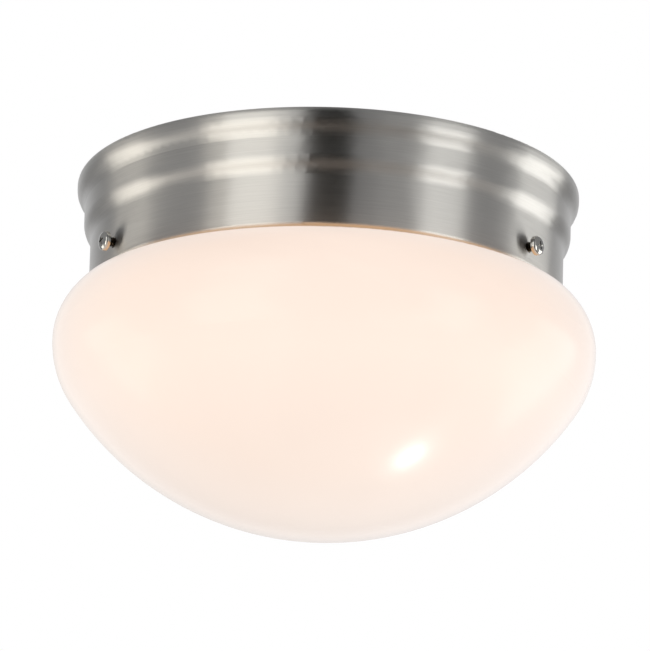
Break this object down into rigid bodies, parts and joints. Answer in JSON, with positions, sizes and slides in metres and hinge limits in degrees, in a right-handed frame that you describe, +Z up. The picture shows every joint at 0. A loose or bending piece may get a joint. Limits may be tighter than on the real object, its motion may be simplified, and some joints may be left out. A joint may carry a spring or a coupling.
{
  "type": "flush mount ceiling light",
  "caption": "Round flush mount ceiling light: stepped metal ceiling pan with lampholders and bulbs inside, closed below by an opal glass mushroom shade held by thumbscrews.",
  "frame": {"origin": "centre of the plane that rests on the ceiling, on the light's centre line", "axes": "+Z up into the ceiling along the light's centre line; X along the bulbs and the mounting strap; +Y towards the rear thumbscrew"},
  "size_m": [0.235, 0.235, 0.155],
  "materials": {
    "brushed_nickel": "spun, satin nickel plate",
    "opal_glass": "gloss white opal",
    "nickel_screw": "bright nickel plate",
    "spring_steel": "plain",
    "zinc_steel": "zinc plate",
    "glass_fibre": "felted glass fibre",
    "green_screw": "green coated",
    "black_nylon": "moulded",
    "porcelain": "white glaze",
    "shell_brass": "drawn sheet",
    "contact_brass": "spring strip",
    "rivet_aluminium": "plain",
    "black_insulation": "extruded",
    "white_insulation": "extruded",
    "frosted_glass": "frosted",
    "cap_aluminium": "drawn sheet",
    "black_glass": "gloss",
    "solder": "soldered"
  },
  "bodies": {
    "pan": {"canopy_pan": "brushed_nickel", "insulation_pad": "glass_fibre", "mounting_strap": "zinc_steel", "mounting_screws": "zinc_steel", "ground_screw": "green_screw", "wire_bushing": "black_nylon", "nut_plates": "spring_steel", "socket_bracket_left": "zinc_steel", "socket_bracket_right": "zinc_steel", "bracket_rivets": "rivet_aluminium", "socket_body_left": "porcelain", "socket_body_right": "porcelain", "holder_screws": "zinc_steel", "screw_shell_left": "shell_brass", "screw_shell_right": "shell_brass", "center_contact_left": "contact_brass", "center_contact_right": "contact_brass", "live_lead": "black_insulation", "neutral_lead": "white_insulation"},
    "shade": {"glass_shade": "opal_glass"},
    "thumbscrew_rear": {"thumbscrew_rear": "nickel_screw"},
    "thumbscrew_left": {"thumbscrew_left": "nickel_screw"},
    "thumbscrew_right": {"thumbscrew_right": "nickel_screw"},
    "bulb_left": {"bulb_glass_left": "frosted_glass", "bulb_cap_left": "cap_aluminium", "bulb_insulator_left": "black_glass", "bulb_tip_left": "solder"},
    "bulb_right": {"bulb_glass_right": "frosted_glass", "bulb_cap_right": "cap_aluminium", "bulb_insulator_right": "black_glass", "bulb_tip_right": "solder"}
  },
  "joints": [
    {"name": "shade_drop", "type": "slide", "parent": "pan", "child": "shade", "axis": [0, 0, -1], "range_m": [0, 0.0125]},
    {"name": "thumbscrew_rear_slide", "type": "slide", "parent": "pan", "child": "thumbscrew_rear", "axis": [0, 1, 0], "range_m": [0, 0.00225]},
    {"name": "thumbscrew_left_slide", "type": "slide", "parent": "pan", "child": "thumbscrew_left", "axis": [-0.866, -0.5, 0], "range_m": [0, 0.00225]},
    {"name": "thumbscrew_right_slide", "type": "slide", "parent": "pan", "child": "thumbscrew_right", "axis": [0.866, -0.5, 0], "range_m": [0, 0.00225]},
    {"name": "bulb_left_unscrew", "type": "slide", "parent": "pan", "child": "bulb_left", "axis": [1, 0, 0], "range_m": [0, 0.025]},
    {"name": "bulb_right_unscrew", "type": "slide", "parent": "pan", "child": "bulb_right", "axis": [-1, 0, 0], "range_m": [0, 0.025]}
  ],
  "couplings": [
    {"joint": "thumbscrew_rear_slide", "follows": "shade_drop", "ratio": 0.176},
    {"joint": "thumbscrew_left_slide", "follows": "shade_drop", "ratio": 0.176},
    {"joint": "thumbscrew_right_slide", "follows": "shade_drop", "ratio": 0.176}
  ]
}
